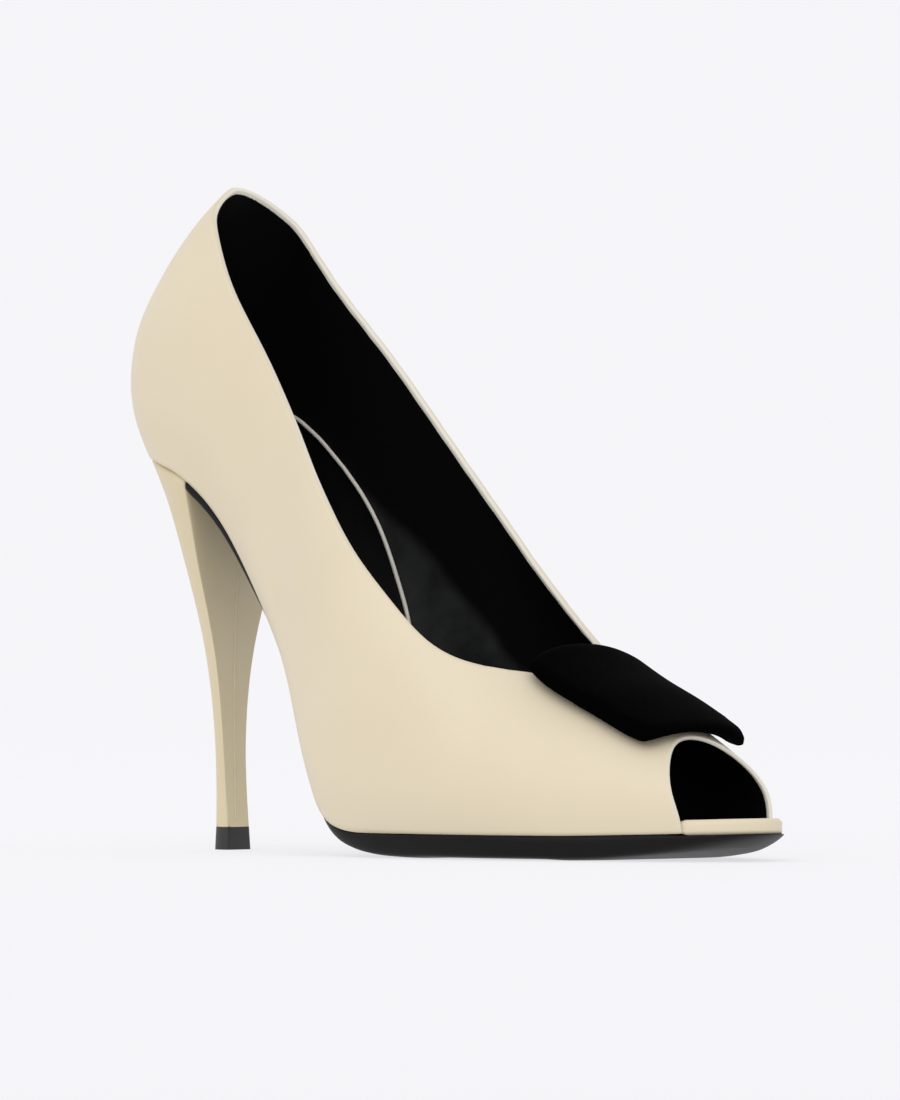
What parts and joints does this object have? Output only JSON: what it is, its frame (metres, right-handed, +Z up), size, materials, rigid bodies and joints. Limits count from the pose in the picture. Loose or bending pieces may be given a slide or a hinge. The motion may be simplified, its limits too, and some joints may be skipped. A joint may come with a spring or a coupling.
{
  "type": "peep toe pump",
  "caption": "Open-toed court shoe on a tall slim heel, with a hollow low-cut upper, a thin sole and a flat rectangular plaque over the vamp.",
  "frame": {"origin": "on the floor under the middle of the shoe's box", "axes": "+X from the heel to the toe, +Y to the inner side of the foot, +Z up"},
  "size_m": [0.2194, 0.079, 0.179],
  "materials": {
    "cream_leather": "smooth calf leather, softly polished",
    "black_sock": "matt lining leather",
    "black_sole": "waxed sole leather",
    "heel_tip": "moulded",
    "black_velvet": "short pile velvet"
  },
  "bodies": {
    "root": {"upper": "cream_leather", "toe_rand": "cream_leather", "heel": "cream_leather", "insole": "black_sock", "outsole": "black_sole", "top_piece": "heel_tip", "vamp_plaque": "black_velvet"}
  },
  "joints": []
}
